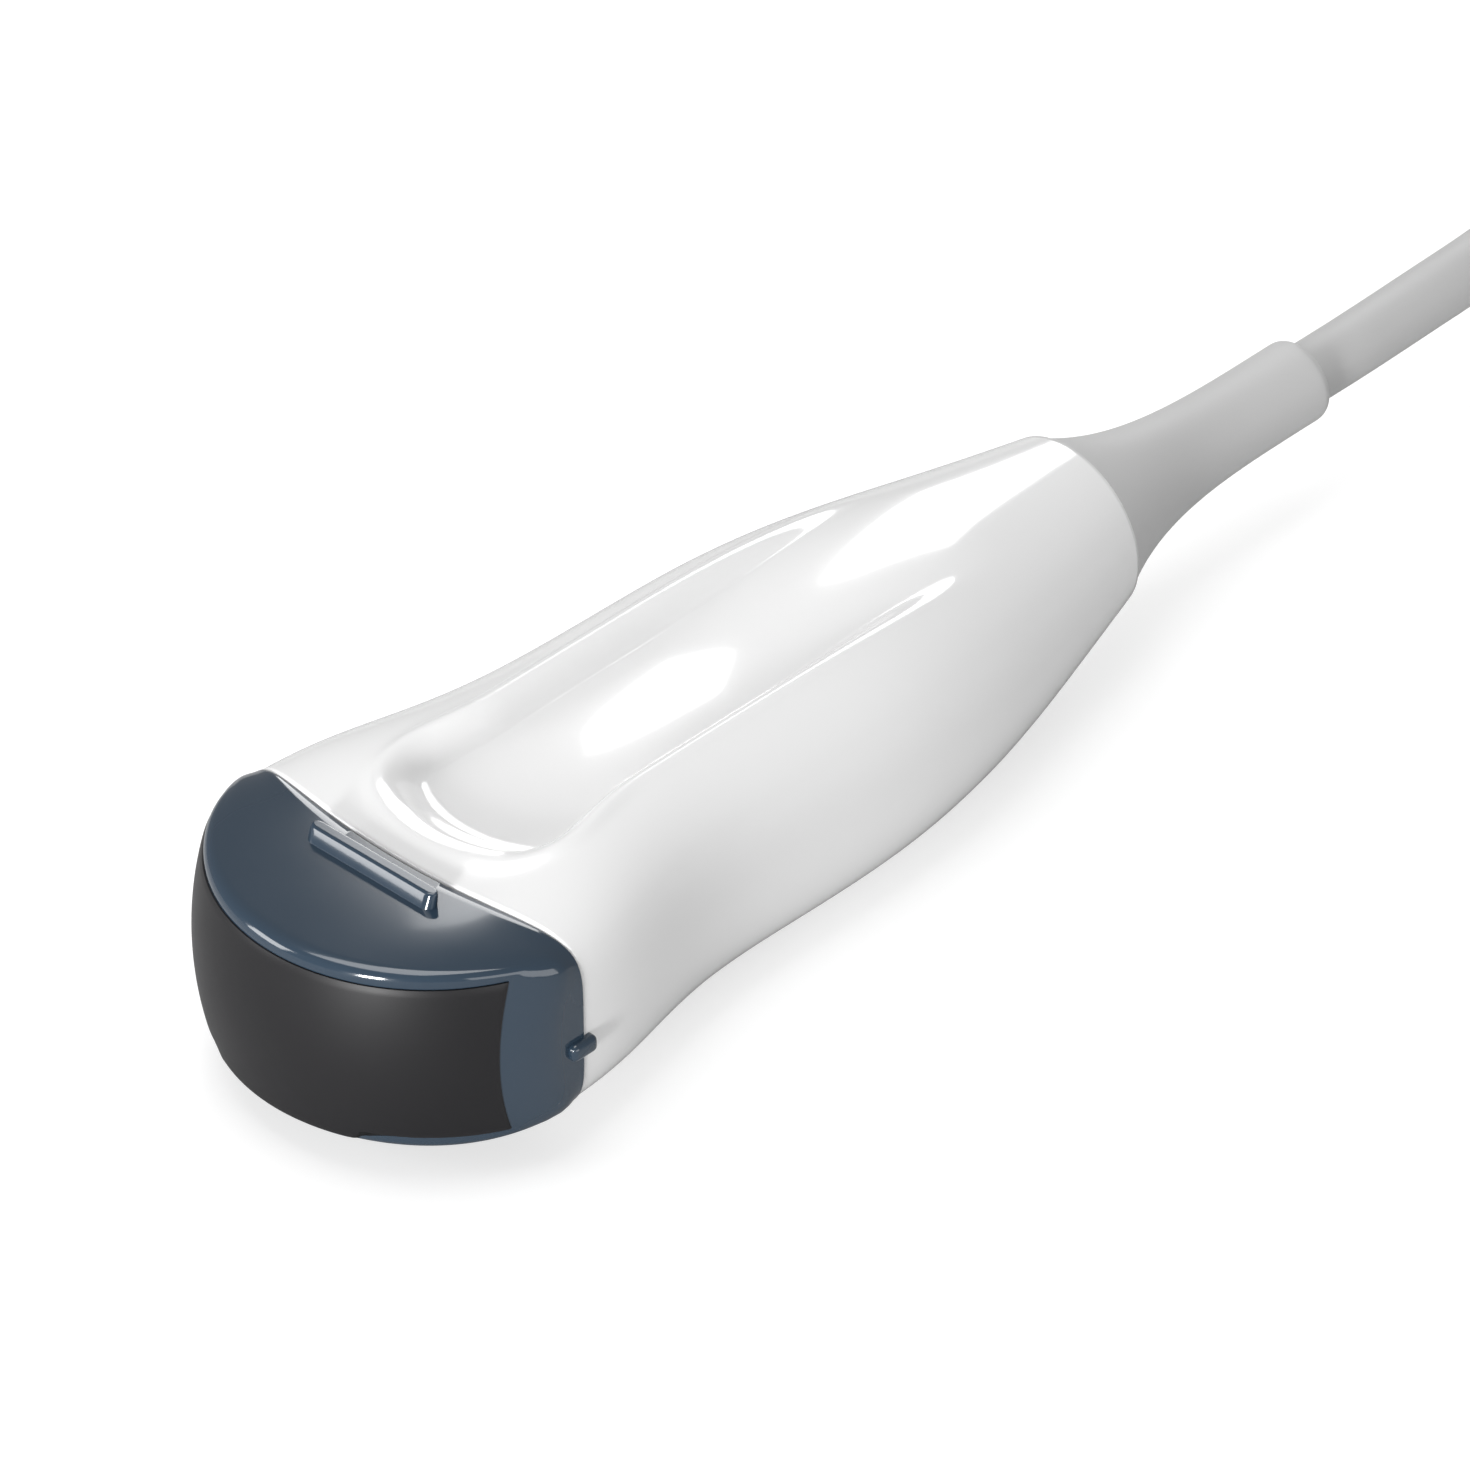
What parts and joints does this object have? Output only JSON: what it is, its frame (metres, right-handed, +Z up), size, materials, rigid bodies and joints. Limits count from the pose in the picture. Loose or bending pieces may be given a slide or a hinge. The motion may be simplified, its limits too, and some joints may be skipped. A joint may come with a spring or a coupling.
{
  "type": "ultrasound transducer probe",
  "caption": "Convex ultrasound probe with a curved lens, glossy handle with a thumb dish, strain relief, cable stored in a tied hank and multi-contact system connector.",
  "frame": {"origin": "on the table under the middle of the probe's length and width (head, handle and strain relief, without the cord)", "axes": "+X across the head, +Y from the lens towards the cable, +Z up with the thumb dish on top"},
  "size_m": [0.0596, 0.399, 0.0284],
  "materials": {
    "shell_white": "glossy white moulded plastic",
    "nose_navy": "glossy slate-navy moulded plastic",
    "lens_silicone": "satin charcoal silicone",
    "cable_jacket": "matt light-grey cable jacket",
    "relief_rubber": "matt light-grey moulded elastomer",
    "boot_rubber": "matt dark-grey moulded elastomer",
    "tie_strap": "dark-grey strap",
    "connector_plastic": "fine-textured light-grey plastic",
    "contact_block_plastic": "dark-grey moulded insulator with contacts",
    "collar_metal": "plated metal",
    "crimp_metal": "plated metal",
    "screw_steel": "plain steel",
    "frame_plastic": "dark-grey plastic",
    "circuit_board": "green circuit board",
    "component_black": "black component package",
    "flex_film": "amber film",
    "wire_bundle": "copper-coloured fine coaxial wires",
    "matching_ceramic": "filled resin",
    "piezo_ceramic": "cream ceramic",
    "backing_epoxy": "filled epoxy"
  },
  "bodies": {
    "root": {"acoustic_lens": "lens_silicone", "backing_block": "backing_epoxy", "board_plug_bottom": "component_black", "board_plug_top": "component_black", "board_screw_bottom_1": "screw_steel", "board_screw_bottom_2": "screw_steel", "board_screw_bottom_3": "screw_steel", "board_screw_bottom_4": "screw_steel", "board_screw_top_1": "screw_steel", "board_screw_top_2": "screw_steel", "board_screw_top_3": "screw_steel", "board_screw_top_4": "screw_steel", "cable_clamp_bottom": "frame_plastic", "cable_clamp_top": "frame_plastic", "cable_hank": "cable_jacket", "cable_lead": "cable_jacket", "cable_tail": "cable_jacket", "clamp_screw_1": "screw_steel", "clamp_screw_2": "screw_steel", "connector_board": "circuit_board", "connector_boot": "boot_rubber", "connector_collar": "collar_metal", "connector_shell_lower": "connector_plastic", "connector_shell_upper": "connector_plastic", "connector_wires": "wire_bundle", "contact_block": "contact_block_plastic", "flex_circuit_bottom": "flex_film", "flex_circuit_top": "flex_film", "handle_shell": "shell_white", "hank_tie": "tie_strap", "inner_frame": "frame_plastic", "inner_matching_layer": "matching_ceramic", "interconnect_board_bottom": "circuit_board", "interconnect_board_top": "circuit_board", "nosepiece": "nose_navy", "outer_matching_layer": "matching_ceramic", "piezo_array": "piezo_ceramic", "preamp_chip_bottom_1": "component_black", "preamp_chip_bottom_2": "component_black", "preamp_chip_top_1": "component_black", "preamp_chip_top_2": "component_black", "shield_crimp_ring": "crimp_metal", "strain_relief": "relief_rubber", "wire_bundle_bottom": "wire_bundle", "wire_bundle_top": "wire_bundle"}
  },
  "joints": []
}
